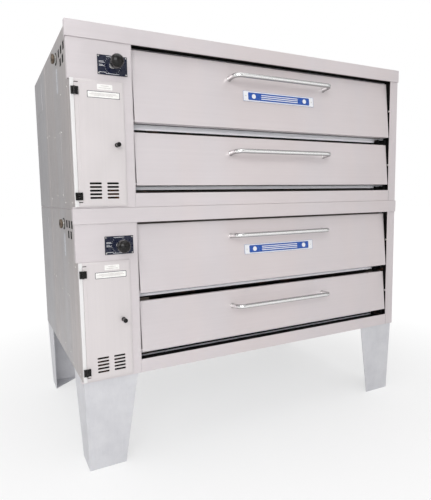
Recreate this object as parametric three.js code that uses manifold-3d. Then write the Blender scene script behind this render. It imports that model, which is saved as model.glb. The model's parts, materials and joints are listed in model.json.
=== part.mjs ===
// Double-stacked gas deck oven: two identical oven sections on four sheet-metal legs.
// Millimetres, +Z up, +X to the right as seen from the front, +Y to the back.
// The origin is on the floor, under the middle of the whole object.
import * as THREE from "three";
import { mergeVertices } from "three/addons/utils/BufferGeometryUtils.js";
import Module from "manifold-3d";

const wasm = await Module();
wasm.setup();

// ---------------------------------------------------------------- driving dimensions
const WIDTH = 1657; // over the top fascia of a section
const DEPTH = 1016; // front panels to back panel
const SECTION_HEIGHT = 660;
const LEG_HEIGHT = 362;
const KNOB_REACH = 86; // how far the thermostat knob stands in front of the panels
const SHEET = 2; // sheet steel of the casing and the doors
const PLATE = 3; // heavier sheet of the chambers and the legs
const GAP = 0.3; // clearance between pieces that rest on each other

// A section is drawn from its own corner: x from the left edge of the fascia, y back from
// the front panels, z up from the bottom of the section.
const SHELL_INSET = 9; // side panels, in from the fascia's ends
const FRAME_INSET = 3; // front panels, in from the fascia's ends
const RETURN_DEPTH = 25; // how far folded front edges run back
const FASCIA_BOTTOM = 602;
const FASCIA_REACH = 4; // fascia in front of the front panels
const OPENING = { left: 239.4, right: 1604, bottom: 54, top: FASCIA_BOTTOM };
const COLUMN_RIGHT = 237; // control column's right edge
const JAMB_DEPTH = 60;
const STILE_SEAM_X = 1618;

const DOOR_LEFT = 245;
const DOOR_RIGHT = 1598;
const DOOR_LEAN = THREE.MathUtils.degToRad(5);
const DOOR_PIVOT = { back: 10.5, up: 6, radius: 4 }; // pin from the front plane and door bottom
const DOOR_FACE = -10; // a door's front face, from its pins
const DECK_DOOR = { bottom: 321, height: 272, thickness: 28, handle: 525, badge: 461 };
const BURNER_DOOR = { bottom: 82.5, height: 203, thickness: 22, handle: 217 };
const DOOR_CENTRE_X = 921;
const HANDLE = { span: 508, standOff: 60, radius: 9.5, bend: 26 };
const BADGE = { width: 380, height: 43, thickness: 3 };

const SERVICE = { left: SHELL_INSET, right: 202, bottom: 6, top: 460, reach: 10, stile: 22, wall: 8 };
const SERVICE_CHAMFER = { run: 9, rise: 4 }; // soft edge around the service door
const SERVICE_HOLE = { left: 40, right: 188, bottom: 32, top: 438 };
const HINGE_PIN = { x: 22, y: -15, radius: 4.5, length: 28 };
const HINGE_HEIGHTS = { upper: 417, lower: 44 };
const LATCH = { x: 169.5, z: 231, reach: 32, radius: 8.5 };
const VENT = { bottom: 38, length: 45, height: 7.5, pitch: 13.2, rows: 5, columns: [85, 149] };

const DIAL = { x: 166, z: 518, width: 111, height: 70 };
const KNOB = { radius: 24, start: 34, dome: 15 }; // start: back of the knob, from the front panels
const STEM_RADIUS = 4;

const CHAMBER = { left: 297, right: 1546, front: 62, back: 985 };
const DECK_TOP = 322;
const BAKING = { bottom: 323, top: 585 };
const BURNER_BOX = { bottom: 58, top: 300 };
const FLUE = { left: 728, right: 928, bottom: 500, top: 560 };

const GAS_Y = 265; // gas line, behind the front panels
const GAS_INLET_Z = 595;
const GAS_PIPE_RADIUS = 11;
const GAS_UNION_REACH = 8; // how far the gas union stands out beyond the fascia's end
const GAS_VALVE = { x: 110, z: 120, half: 35 };
const AIR_SLOT = { starts: [420, 840, 1260], length: 160, front: 480, back: 560 };
const BURNER_PIPE = { radius: 20, start: 345, turn: 1400, end: 420, back: 800, bend: 70 };

// ---------------------------------------------------------------- solids
/** A closed three.js geometry (or a solid already made) as a solid that can be cut and joined. */
function solid(shape) {
  if (!shape.isBufferGeometry) return shape;
  const plain = shape.clone();
  plain.deleteAttribute("normal");
  plain.deleteAttribute("uv");
  const merged = mergeVertices(plain);
  const mesh = new wasm.Mesh({
    numProp: 3,
    vertProperties: new Float32Array(merged.attributes.position.array),
    triVerts: new Uint32Array(merged.index.array),
  });
  return new wasm.Manifold(mesh);
}

const join = (...shapes) => shapes.map(solid).reduce((sum, next) => sum.add(next));
const cut = (shape, ...tools) => tools.map(solid).reduce((rest, tool) => rest.subtract(tool), solid(shape));

/** The geometry of a solid, for a mesh. */
function geometryOf(shape) {
  if (shape.isBufferGeometry) return shape;
  const mesh = shape.getMesh();
  const geometry = new THREE.BufferGeometry();
  geometry.setAttribute("position", new THREE.BufferAttribute(mesh.vertProperties, 3));
  geometry.setIndex(new THREE.BufferAttribute(mesh.triVerts, 1));
  geometry.computeVertexNormals();
  return geometry;
}

/** A box between two values on each axis, with its corners exactly on them. */
function block(x0, x1, y0, y1, z0, z1) {
  const box = new THREE.BoxGeometry(1, 1, 1);
  const corner = box.attributes.position;
  for (let i = 0; i < corner.count; i += 1) {
    corner.setX(i, corner.getX(i) < 0 ? x0 : x1);
    corner.setY(i, corner.getY(i) < 0 ? y0 : y1);
    corner.setZ(i, corner.getZ(i) < 0 ? z0 : z1);
  }
  return box;
}

const AXIS = {
  x: new THREE.Vector3(1, 0, 0),
  y: new THREE.Vector3(0, 1, 0),
  z: new THREE.Vector3(0, 0, 1),
};

/** A round bar along one axis, between two values on it, centred on (a, b) of the other two axes. */
function bar(axis, radius, from, to, centre, sides = 16) {
  const cylinder = new THREE.CylinderGeometry(radius, radius, to - from, sides);
  cylinder.applyQuaternion(new THREE.Quaternion().setFromUnitVectors(AXIS.y, AXIS[axis]));
  const middle = (from + to) / 2;
  const [a, b] = centre;
  const place = { x: [middle, a, b], y: [a, middle, b], z: [a, b, middle] }[axis];
  return cylinder.translate(...place);
}

/** A flat shape drawn in (x, z) as a plate between two y values; a chamfer makes it wider by its run. */
function uprightPlate(shape, y0, y1, chamfer = { run: 0, rise: 0 }) {
  const plate = new THREE.ExtrudeGeometry(shape, {
    depth: y1 - y0 - 2 * chamfer.rise,
    bevelEnabled: chamfer.rise > 0,
    bevelSize: chamfer.run,
    bevelThickness: chamfer.rise,
    bevelSegments: 1,
    curveSegments: 4,
  });
  const turn = new THREE.Matrix4().makeBasis(AXIS.x, AXIS.z, AXIS.y.clone().negate());
  return plate.applyMatrix4(turn).translate(0, y1 - chamfer.rise, 0);
}

/** A flat shape drawn in (y, z) as a plate between two x values. */
function sidePlate(shape, x0, x1) {
  const plate = new THREE.ExtrudeGeometry(shape, { depth: x1 - x0, bevelEnabled: false });
  return plate.applyMatrix4(new THREE.Matrix4().makeBasis(AXIS.y, AXIS.z, AXIS.x)).translate(x0, 0, 0);
}

/** A flat shape drawn in (x, y) as a plate between two heights. */
function flatPlate(shape, z0, z1) {
  return new THREE.ExtrudeGeometry(shape, { depth: z1 - z0, bevelEnabled: false }).translate(0, 0, z0);
}

const polygon = (points) => new THREE.Shape(points.map(([x, y]) => new THREE.Vector2(x, y)));

const rectangle = (x0, x1, y0, y1) => polygon([[x0, y0], [x1, y0], [x1, y1], [x0, y1]]);

/** A slot with round ends around a centre, lying along the first axis of the shape. */
function slotShape(x, y, length, height) {
  const radius = height / 2;
  const reach = length / 2 - radius;
  const slot = new THREE.Shape();
  slot.absarc(x + reach, y, radius, -Math.PI / 2, Math.PI / 2, false);
  slot.absarc(x - reach, y, radius, Math.PI / 2, (3 * Math.PI) / 2, false);
  return slot;
}

/** A turned piece: (radius, height) points from the axis back to the axis, pointing forward (-Y). */
function turned(profile, x, y, z, sides = 24) {
  const points = profile.map(([radius, height]) => new THREE.Vector2(radius, height));
  return new THREE.LatheGeometry(points, sides).rotateX(Math.PI).translate(x, y, z);
}

/** The centre line of a bent pipe: straight runs joined by round corners, points only at the bends. */
class BentPipe extends THREE.Curve {
  constructor(corners, bendRadius, stepsPerBend = 5) {
    super();
    this.points = [corners[0]];
    this.tangents = [corners[1].clone().sub(corners[0]).normalize()];
    const blend = (a, shareOfA, b, shareOfB) =>
      a.clone().multiplyScalar(shareOfA).addScaledVector(b, shareOfB);
    for (let i = 1; i < corners.length - 1; i += 1) {
      const before = corners[i].clone().sub(corners[i - 1]).normalize();
      const after = corners[i + 1].clone().sub(corners[i]).normalize();
      const centre = corners[i].clone().add(blend(before, -bendRadius, after, bendRadius));
      for (let step = 0; step <= stepsPerBend; step += 1) {
        const angle = (step / stepsPerBend) * (Math.PI / 2);
        const outward = blend(after, -Math.cos(angle), before, Math.sin(angle));
        this.points.push(centre.clone().addScaledVector(outward, bendRadius));
        this.tangents.push(blend(before, Math.cos(angle), after, Math.sin(angle)));
      }
    }
    this.points.push(corners.at(-1));
    this.tangents.push(corners.at(-1).clone().sub(corners.at(-2)).normalize());
  }

  getSpacedPoints() {
    return this.points;
  }

  getTangentAt(u) {
    return this.tangents[Math.round(u * (this.tangents.length - 1))];
  }
}

/** A round pipe through right-angled corners, each rounded to the bend radius. */
function pipe(corners, radius, bendRadius, sides = 12) {
  const path = new BentPipe(corners.map((corner) => new THREE.Vector3(...corner)), bendRadius);
  const ring = Array.from({ length: sides }, (_, i) => {
    const angle = (2 * Math.PI * i) / sides;
    return [radius * Math.cos(angle), radius * Math.sin(angle)];
  });
  const options = { steps: path.points.length - 1, extrudePath: path, bevelEnabled: false };
  return new THREE.ExtrudeGeometry(polygon(ring), options);
}

// ---------------------------------------------------------------- finishes
const FINISHES = {
  stainless: { color: 0xdcd8d8, roughness: 0.38, metalness: 0.85 },
  warmSteel: { color: 0xe2dedc, roughness: 0.42, metalness: 0.7 },
  sideSteel: { color: 0xa8a5a6, roughness: 0.45, metalness: 0.8 },
  legSteel: { color: 0xc6c6cc, roughness: 0.5, metalness: 0.75 },
  chrome: { color: 0xe8e8ea, roughness: 0.12, metalness: 1 },
  blackPlastic: { color: 0x2c2a2a, roughness: 0.35, metalness: 0 },
  navyPlate: { color: 0x282d41, roughness: 0.4, metalness: 0.3 },
  badgeBlue: { color: 0x1e50aa, roughness: 0.35, metalness: 0.2 },
  hotSteel: { color: 0x8d8782, roughness: 0.6, metalness: 0.6 },
  hearth: { color: 0xa39787, roughness: 0.85, metalness: 0 },
  castIron: { color: 0x4a4644, roughness: 0.8, metalness: 0.5 },
  blackPipe: { color: 0x3a3734, roughness: 0.6, metalness: 0.6 },
  aluminium: { color: 0xb9babb, roughness: 0.5, metalness: 0.9 },
  wool: { color: 0xcdbf9a, roughness: 1, metalness: 0 },
};

/** A named mesh with a material of its own, added to its group. */
function add(group, name, shape, finish) {
  const mesh = new THREE.Mesh(geometryOf(shape), new THREE.MeshStandardMaterial(FINISHES[finish]));
  mesh.name = name;
  group.add(mesh);
  return mesh;
}

// ---------------------------------------------------------------- casing
/** Two side panels and the back in one wrap, with narrow flanges turned in at the front. */
function sideCasing() {
  const left = SHELL_INSET;
  const right = WIDTH - SHELL_INSET;
  const front = SHEET + GAP;
  const top = SECTION_HEIGHT - SHEET - 3 * GAP;
  const flange = 20;
  const wrap = cut(
    block(left, right, front, DEPTH, GAP, top),
    block(left + SHEET, right - SHEET, front + SHEET, DEPTH - SHEET, -1, top + 1),
    block(left + flange, right - flange, 0, front + SHEET + 1, -1, top + 1),
  );
  const slotWidth = 32;
  const upperSlots = [88, 142, 196].map((y) => [y, 582, 612]);
  const lowerSlots = [110, 164].map((y) => [y, 541, 571]);
  const slots = [...upperSlots, ...lowerSlots].map(([y, low, high]) =>
    block(left - 1, left + SHEET + 1, y - slotWidth / 2, y + slotWidth / 2, low, high),
  );
  const pipeHole = bar("x", 20, left - 1, left + SHEET + 1, [GAS_Y, GAS_INLET_Z], 24);
  const flueHole = block(FLUE.left, FLUE.right, DEPTH - SHEET - 1, DEPTH + 1, FLUE.bottom, FLUE.top);
  return cut(wrap, ...slots, pipeHole, flueHole);
}

/** Flat lid with the deep fascia folded down at the front and short returns at its ends. */
function topCover() {
  const top = SECTION_HEIGHT - GAP;
  const front = -FASCIA_REACH;
  const back = 22;
  const right = WIDTH;
  const lid = polygon([[0, front], [right, front], [right, back], [right - SHELL_INSET, back],
    [right - SHELL_INSET, DEPTH], [SHELL_INSET, DEPTH], [SHELL_INSET, back], [0, back]]);
  const fascia = polygon([[0, front], [right, front], [right, back], [right - SHEET, back],
    [right - SHEET, front + SHEET], [SHEET, front + SHEET], [SHEET, back], [0, back]]);
  return join(flatPlate(lid, top - SHEET, top), flatPlate(fascia, FASCIA_BOTTOM, top - SHEET / 2));
}

/** Cutters for the openings that let the burner's air up through a floor. */
function airSlots(z0, z1) {
  const { starts, length, front, back } = AIR_SLOT;
  return starts.map((x) => block(x, x + length, front, back, z0, z1));
}

/** Floor pan inside the casing, with turned-up edges and openings for the burner's air. */
function basePan() {
  const left = SHELL_INSET + SHEET + GAP;
  const right = WIDTH - left;
  const front = 2 * SHEET + 2 * GAP;
  const back = DEPTH - SHEET - GAP;
  const edge = 25;
  const pan = cut(
    block(left, right, front, back, 0, edge),
    block(left + SHEET, right - SHEET, front + SHEET, back - SHEET, SHEET, edge + 1),
  );
  return cut(pan, ...airSlots(-1, SHEET + 1));
}

/** Front of the control column, with the service opening and the hole for the thermostat stem. */
function controlPanel() {
  const left = FRAME_INSET;
  const top = SECTION_HEIGHT - 5;
  const face = cut(
    block(left, COLUMN_RIGHT, 0, SHEET, GAP, top),
    block(SERVICE_HOLE.left, SERVICE_HOLE.right, -1, SHEET + 1, SERVICE_HOLE.bottom, SERVICE_HOLE.top),
    block(left - 1, SHELL_INSET, -1, SHEET + 1, SERVICE.bottom, SERVICE.top),
    bar("y", 7, -1, SHEET + 1, [DIAL.x, DIAL.z]),
  );
  return join(
    face,
    block(left, left + SHEET, 0, RETURN_DEPTH, SERVICE.top, top),
    block(left, left + SHEET, 0, RETURN_DEPTH, GAP, SERVICE.bottom),
  );
}

/** Welded front frame: rail, jambs, header, right stile, and the ledge rails behind the doors. */
function frontFrame() {
  const left = COLUMN_RIGHT + 2 * GAP;
  const right = WIDTH - FRAME_INSET;
  const top = SECTION_HEIGHT - 5;
  const { left: x0, right: x1, bottom: z0, top: z1 } = OPENING;
  const sleeve = cut(
    block(left, x1 + SHEET, 0, JAMB_DEPTH, z0 - SHEET, z1 + SHEET),
    block(x0, x1, -1, JAMB_DEPTH + 1, z0, z1),
  );
  const face = cut(block(left, right, 0, SHEET, GAP, top), block(x0, x1, -1, SHEET + 1, z0, z1));
  const sideReturn = block(right - SHEET, right, 0, RETURN_DEPTH, GAP, top);
  const ledgeZ = 295;
  const ledgeStep = 308;
  const ledge = join(
    block(x0 - 1, x1 + 1, 46, JAMB_DEPTH, ledgeZ, ledgeStep),
    block(x0 - 1, x1 + 1, 50, JAMB_DEPTH, ledgeStep, DECK_DOOR.bottom),
  );
  const sill = block(x0 - 1, x1 + 1, 40, JAMB_DEPTH, 64, 80);
  const seam = block(STILE_SEAM_X - 0.4, STILE_SEAM_X + 0.4, -1, 1, 0, top + 1);
  const pinHoles = [DECK_DOOR, BURNER_DOOR].map((door) =>
    bar("x", DOOR_PIVOT.radius + 1, 0, WIDTH - 20, [DOOR_PIVOT.back, door.bottom + DOOR_PIVOT.up]),
  );
  return cut(join(face, sleeve, sideReturn, ledge, sill), seam, ...pinHoles);
}

// ---------------------------------------------------------------- chambers and burner
/** Flange that closes the space between a chamber's mouth and the front frame. */
function mouthFlange(z0, z1) {
  const clear = 0.6;
  return block(OPENING.left + clear, OPENING.right - clear, CHAMBER.front, CHAMBER.front + PLATE, z0, z1);
}

/** Baking chamber: roof, two sides and back, open at the front and over the hearth deck. */
function bakingChamber() {
  const { left, right, front, back } = CHAMBER;
  const shell = join(
    block(left, right, front, back, BAKING.bottom, BAKING.top),
    mouthFlange(BAKING.bottom, OPENING.top - 1),
  );
  const hollow = block(left + PLATE, right - PLATE, front - 1, back - PLATE, 0, BAKING.top - PLATE);
  const flue = block(FLUE.left, FLUE.right, back - PLATE - 1, back + 1, FLUE.bottom, FLUE.top);
  return cut(shell, hollow, flue);
}

/** Burner box: floor, two sides and back, with turned-in rims that carry the hearth deck. */
function burnerBox() {
  const { left, right, front, back } = CHAMBER;
  const rim = 24;
  const shell = join(
    block(left, right, front, back, BURNER_BOX.bottom, BURNER_BOX.top),
    mouthFlange(BURNER_BOX.bottom, BURNER_BOX.top),
  );
  const hollow = block(
    left + PLATE, right - PLATE, front - 1, back - PLATE, BURNER_BOX.bottom + PLATE, BURNER_BOX.top + 1,
  );
  const rims = [left, right - rim].map((x) =>
    block(x, x + rim, front, back, BURNER_BOX.top - PLATE, BURNER_BOX.top),
  );
  const pipeHole = bar("x", 15, left - 1, left + PLATE + 1, [GAS_Y, GAS_VALVE.z]);
  const slots = airSlots(BURNER_BOX.bottom - 1, BURNER_BOX.bottom + PLATE + 1);
  return cut(join(cut(shell, hollow), ...rims), pipeHole, ...slots);
}

/** Thick hearth deck that the food bakes on. */
function hearthDeck() {
  const clear = 4;
  const { left, right, front, back } = CHAMBER;
  return block(left + PLATE + clear, right - PLATE - clear, front + 6, back - PLATE - clear,
    BURNER_BOX.top + GAP, DECK_TOP);
}

/** Mineral-wool blanket around the sides, the back and the top of both chambers. */
function insulation() {
  const clear = 1;
  const { left, right, back } = CHAMBER;
  const blanket = block(245, 1598, CHAMBER.front + 6, DEPTH - 8, 60, 650);
  const chambers = block(left - clear, right + clear, 0, back + clear, 0, BAKING.top + clear);
  const flue = block(FLUE.left, FLUE.right, back, DEPTH, FLUE.bottom, FLUE.top);
  const sleeve = block(0, WIDTH, 0, CHAMBER.front + PLATE + clear, 0, SECTION_HEIGHT);
  const pipeHole = bar("x", 16, 240, left, [GAS_Y, GAS_VALVE.z]);
  return cut(blanket, chambers, flue, sleeve, pipeHole);
}

/** U-shaped burner pipe with a flared mouth and feet that stand on the burner box. */
function burner() {
  const { radius, start, turn, end, back, bend } = BURNER_PIPE;
  const z = GAS_VALVE.z;
  const run = pipe([[start, GAS_Y, z], [turn, GAS_Y, z], [turn, back, z], [end, back, z]], radius, bend);
  const mouth = bar("x", radius + 7, start - 12, start + 30, [GAS_Y, z]);
  const mouthHole = bar("x", radius, start - 13, start + 20, [GAS_Y, z]);
  const floor = BURNER_BOX.bottom + PLATE + GAP;
  const feet = [560, 1100].flatMap((x) =>
    [GAS_Y, back].map((y) => block(x, x + 4, y - 18, y + 18, floor, z)),
  );
  return join(cut(join(run, mouth), mouthHole), ...feet);
}

/** Gas line from the side inlet down to the valve; its union stands out through the side panel. */
function gasInletPipe() {
  const top = GAS_VALVE.z + GAS_VALVE.half + GAP;
  const start = -GAS_UNION_REACH;
  const centre = [GAS_Y, GAS_INLET_Z];
  const corners = [
    [start + 4, GAS_Y, GAS_INLET_Z],
    [GAS_VALVE.x, GAS_Y, GAS_INLET_Z],
    [GAS_VALVE.x, GAS_Y, top],
  ];
  const run = pipe(corners, GAS_PIPE_RADIUS, 26);
  const nut = bar("x", 18.5, start, start + 8, centre, 6);
  const neck = bar("x", 14, start + 7, start + 12, centre, 12);
  const collar = bar("x", 18, start + 11, start + 18, centre, 24);
  const bore = bar("x", 9, start - 1, start + 16, centre, 12);
  return cut(join(run, nut, neck, collar), bore);
}

/** Outlet pipe from the valve to the burner's mouth, ending in the gas jet. */
function gasManifold() {
  const start = GAS_VALVE.x + GAS_VALVE.half + GAP;
  const end = BURNER_PIPE.start - 14;
  const centre = [GAS_Y, GAS_VALVE.z];
  return join(bar("x", GAS_PIPE_RADIUS, start, end - 14, centre), bar("x", 6, end - 15, end, centre));
}

/** Combination safety valve in the service compartment. */
function gasValve() {
  const { x, z, half } = GAS_VALVE;
  const body = block(x - half, x + half, GAS_Y - half, GAS_Y + half, z - half + 6, z + half - 6);
  return join(
    body,
    bar("z", 15, z - half, z + half, [x, GAS_Y], 8),
    bar("x", 15, x - half, x + half, [GAS_Y, z], 8),
    bar("y", 4, GAS_Y - half - 14, GAS_Y - half + 1, [x, z], 12),
  );
}

/** Grip of the safety valve, turned by hand from the front. */
function gasValveKnob() {
  const { x, z, half } = GAS_VALVE;
  const face = GAS_Y - half - 1;
  const grip = turned([[0, 0], [20, 0], [20, 10], [17, 14], [0, 14]], x, face, z, 20);
  const wing = block(x - 3, x + 3, face - 24, face - 12, z - 16, z + 16);
  const bore = bar("y", 4.8, face - 20, face + 1, [x, z], 12);
  return cut(join(grip, wing), bore);
}

// ---------------------------------------------------------------- controls
/** Thermostat body behind the panel, with its stem through the panel. */
function thermostat() {
  const body = block(DIAL.x - 30, DIAL.x + 30, 16, 76, DIAL.z - 26, DIAL.z + 26);
  const boss = bar("y", 13, SHEET + GAP, 17, [DIAL.x, DIAL.z]);
  const stem = bar("y", STEM_RADIUS, -KNOB.start - 20, 17, [DIAL.x, DIAL.z], 12);
  return join(body, boss, stem);
}

/** Domed knob on the thermostat's stem. */
function thermostatKnob() {
  const { radius, start, dome } = KNOB;
  const length = KNOB_REACH - start;
  const shoulder = length - dome;
  const hub = [[0, 0], [13, 0], [13, 10], [radius - 3, 14], [radius, 20]];
  const cap = [0, 15, 30, 45, 60, 75].map((degrees) => {
    const angle = THREE.MathUtils.degToRad(degrees);
    return [radius * Math.cos(angle), shoulder + dome * Math.sin(angle)];
  });
  const knob = turned([...hub, ...cap, [0, length]], DIAL.x, -start, DIAL.z, 28);
  const bore = bar("y", STEM_RADIUS + 0.8, -start - 24, -start + 1, [DIAL.x, DIAL.z], 12);
  return cut(knob, bore);
}

/** Flat plate behind the knob, with a hole for the stem. */
function dialPlate() {
  const { x, z, width, height } = DIAL;
  const plate = block(x - width / 2, x + width / 2, -1.8, -GAP, z - height / 2, z + height / 2);
  return cut(plate, bar("y", 9, -3, 1, [x, z], 20));
}

/** Raised frame around the service opening; its wide left stile carries the hinges. */
function serviceFrame() {
  const { left, right, bottom, top, reach, stile, wall } = SERVICE;
  const ringFace = -(reach - SHEET - GAP);
  const margin = wall + 2 * GAP;
  return cut(
    join(
      block(left, stile, -reach, -GAP, bottom, top),
      block(stile - 1, right - margin, ringFace, -GAP, bottom + margin, top - margin),
    ),
    block(SERVICE_HOLE.left, SERVICE_HOLE.right, -reach - 1, 1, SERVICE_HOLE.bottom, SERVICE_HOLE.top),
  );
}

/** Service door: a shallow pan with wide chamfered edges, ten vent slots and two hinge reliefs. */
function serviceDoor() {
  const { right, bottom, top, reach, stile, wall } = SERVICE;
  const { run } = SERVICE_CHAMFER;
  const left = stile + 0.5;
  const outline = rectangle(left - 20, right - run, bottom + run, top - run);
  const slab = uprightPlate(outline, -reach, reach, SERVICE_CHAMFER);
  const pan = cut(
    slab,
    block(left - 40, left, -20, 20, 0, SECTION_HEIGHT),
    block(left - 1, right + 1, -GAP, reach + 1, 0, SECTION_HEIGHT),
    block(left - 1, right - wall, -reach + SHEET, 1, bottom + wall, top - wall),
  );
  const slots = [];
  for (let row = 0; row < VENT.rows; row += 1) {
    const z = VENT.bottom + row * VENT.pitch;
    for (const x of VENT.columns) {
      slots.push(uprightPlate(slotShape(x, z, VENT.length, VENT.height), -reach - 1, -reach + SHEET + 1));
    }
  }
  const reliefs = [bottom + 16, top - 13].map((z) =>
    block(left - 1, left + 14.5, -20, -reach + SHEET + 1, z - 1.5, z + 1.5),
  );
  return cut(pan, ...slots, ...reliefs);
}

/** Fixed half of a service hinge: leaf and ribbed barrel. */
function serviceHinge(z) {
  const { x, y, radius, length } = HINGE_PIN;
  const low = z - length / 2;
  const high = z + length / 2;
  const leaf = block(x - 12, x - 1, -SERVICE.reach - 4, -SERVICE.reach - GAP, low, high);
  const bridge = block(x - 4, x, y - 1, -SERVICE.reach - GAP, low, high);
  return join(leaf, bridge, bar("z", radius, low, high, [x, y], 16));
}

/** Quarter-turn latch: a small round knob with a waist and a coin slot across its face. */
function serviceLatch() {
  const { x, z, reach, radius } = LATCH;
  const face = -SERVICE.reach - GAP;
  const waist = radius - 1.5;
  const profile = [[0, 0], [radius, 0], [radius, 3], [waist, 5], [waist, reach - 12], [radius, reach - 10],
    [radius, reach - 1], [radius - 1, reach], [0, reach]];
  const slot = block(x - 1.2, x + 1.2, face - reach - 1, face - reach + 2.5, z - radius - 1, z + radius + 1);
  return cut(turned(profile, x, face, z, 24), slot);
}

// ---------------------------------------------------------------- doors
/** Folded door pan, open at the back, drawn around its hinge pins. */
function doorPan(door) {
  const back = DOOR_FACE + door.thickness;
  const low = -DOOR_PIVOT.up;
  const high = low + door.height;
  const pan = cut(
    block(DOOR_LEFT, DOOR_RIGHT, DOOR_FACE, back, low, high),
    block(DOOR_LEFT + SHEET, DOOR_RIGHT - SHEET, DOOR_FACE + SHEET, back + 1, low + SHEET, high - SHEET),
  );
  const pinLength = 9;
  const pins = [
    bar("x", DOOR_PIVOT.radius, DOOR_LEFT - pinLength, DOOR_LEFT + 1, [0, 0], 12),
    bar("x", DOOR_PIVOT.radius, DOOR_RIGHT - 1, DOOR_RIGHT + pinLength, [0, 0], 12),
  ];
  return join(pan, ...pins);
}

/** Inner panel of the deck door, with a raised field that faces the baking chamber. */
function deckDoorLiner() {
  const inset = SHEET + 0.5;
  const back = DOOR_FACE + DECK_DOOR.thickness;
  const low = -DOOR_PIVOT.up + inset;
  const high = low + DECK_DOOR.height - 2 * inset;
  return join(
    block(DOOR_LEFT + inset, DOOR_RIGHT - inset, back - 4, back - 2, low, high),
    block(DOOR_LEFT + 50, DOOR_RIGHT - 50, back - 3, back + 4, low + 22, high - 22),
  );
}

/** Bent-tube handle across the middle of a door. */
function doorHandle(door) {
  const face = DOOR_FACE - GAP;
  const out = face - HANDLE.standOff;
  const x0 = DOOR_CENTRE_X - HANDLE.span / 2;
  const x1 = DOOR_CENTRE_X + HANDLE.span / 2;
  const z = door.handle - door.bottom - DOOR_PIVOT.up;
  return pipe([[x0, face, z], [x0, out, z], [x1, out, z], [x1, face, z]], HANDLE.radius, HANDLE.bend);
}

/** Plain plate below the deck door's handle. */
function doorBadge() {
  const face = DOOR_FACE - GAP;
  const z = DECK_DOOR.badge - DECK_DOOR.bottom - DOOR_PIVOT.up;
  return block(DOOR_CENTRE_X - BADGE.width / 2, DOOR_CENTRE_X + BADGE.width / 2,
    face - BADGE.thickness, face, z - BADGE.height / 2, z + BADGE.height / 2);
}

/** A group on a door's hinge line, leaned back as the closed door is. */
function doorGroup(door) {
  const group = new THREE.Group();
  group.position.set(0, DOOR_PIVOT.back, door.bottom + DOOR_PIVOT.up);
  group.rotation.x = -DOOR_LEAN;
  return group;
}

// ---------------------------------------------------------------- one oven section
function ovenSection(name, base) {
  const section = new THREE.Group();
  section.position.set((GAS_UNION_REACH - WIDTH) / 2, (KNOB_REACH - DEPTH) / 2, base);
  const part = (piece, shape, finish, group = section) => add(group, `${name}_${piece}`, shape, finish);

  part("side_casing", sideCasing(), "sideSteel");
  part("top_cover", topCover(), "stainless");
  part("base_pan", basePan(), "legSteel");
  part("control_panel", controlPanel(), "stainless");
  part("front_frame", frontFrame(), "stainless");
  part("baking_chamber", bakingChamber(), "hotSteel");
  part("burner_box", burnerBox(), "hotSteel");
  part("hearth_deck", hearthDeck(), "hearth");
  part("insulation", insulation(), "wool");
  part("burner", burner(), "castIron");
  part("gas_inlet_pipe", gasInletPipe(), "blackPipe");
  part("gas_manifold", gasManifold(), "blackPipe");
  part("gas_valve", gasValve(), "aluminium");
  part("gas_valve_knob", gasValveKnob(), "blackPlastic");
  part("thermostat", thermostat(), "aluminium");
  part("thermostat_knob", thermostatKnob(), "blackPlastic");
  part("dial_plate", dialPlate(), "navyPlate");
  part("service_frame", serviceFrame(), "warmSteel");
  part("service_door", serviceDoor(), "warmSteel");
  part("service_hinge_top", serviceHinge(HINGE_HEIGHTS.upper), "blackPlastic");
  part("service_hinge_bottom", serviceHinge(HINGE_HEIGHTS.lower), "blackPlastic");
  part("service_latch", serviceLatch(), "blackPlastic");

  const deckDoor = doorGroup(DECK_DOOR);
  part("deck_door", doorPan(DECK_DOOR), "stainless", deckDoor);
  part("deck_door_liner", deckDoorLiner(), "hotSteel", deckDoor);
  part("deck_door_handle", doorHandle(DECK_DOOR), "chrome", deckDoor);
  part("deck_door_badge", doorBadge(), "badgeBlue", deckDoor);

  const burnerDoor = doorGroup(BURNER_DOOR);
  part("burner_door", doorPan(BURNER_DOOR), "stainless", burnerDoor);
  part("burner_door_handle", doorHandle(BURNER_DOOR), "chrome", burnerDoor);

  section.add(deckDoor, burnerDoor);
  return section;
}

// ---------------------------------------------------------------- legs
const LEG = { frontTop: 213, frontFoot: 145, sideTop: 200, sideFoot: 120, lean: 10, cornerInset: 11 };

/**
 * Folded, tapered leg with a foot plate. towardX and towardY are +1 or -1: the way its flanges
 * run from the outer corner. It is drawn upright, then sheared so that the corner leans inward.
 */
function leg(towardX, towardY) {
  const top = -GAP;
  const bottom = -LEG_HEIGHT;
  const frontOutline = polygon([[0, top], [towardX * LEG.frontTop, top], [towardX * LEG.frontFoot, bottom],
    [0, bottom]]);
  const sideOutline = polygon([[0, top], [towardY * LEG.sideTop, top], [towardY * LEG.sideFoot, bottom],
    [0, bottom]]);
  const thick = (toward) => [Math.min(0, toward * PLATE), Math.max(0, toward * PLATE)];
  const footOutline = polygon([[0, 0], [towardX * LEG.frontFoot, 0], [0, towardY * LEG.sideFoot]]);
  const capOutline = polygon([[0, 0], [towardX * LEG.frontTop, 0], [0, towardY * LEG.sideTop]]);
  const upright = join(
    uprightPlate(frontOutline, ...thick(towardY)),
    sidePlate(sideOutline, ...thick(towardX)),
    flatPlate(footOutline, bottom, bottom + PLATE + 1),
    flatPlate(capOutline, top - PLATE, top),
  );
  const lean = LEG.lean / LEG_HEIGHT;
  const shear = new THREE.Matrix4().set(
    1, 0, -towardX * lean, 0,
    0, 1, -towardY * lean, 0,
    0, 0, 1, 0,
    0, 0, 0, 1,
  );
  return geometryOf(upright).applyMatrix4(shear);
}

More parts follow.
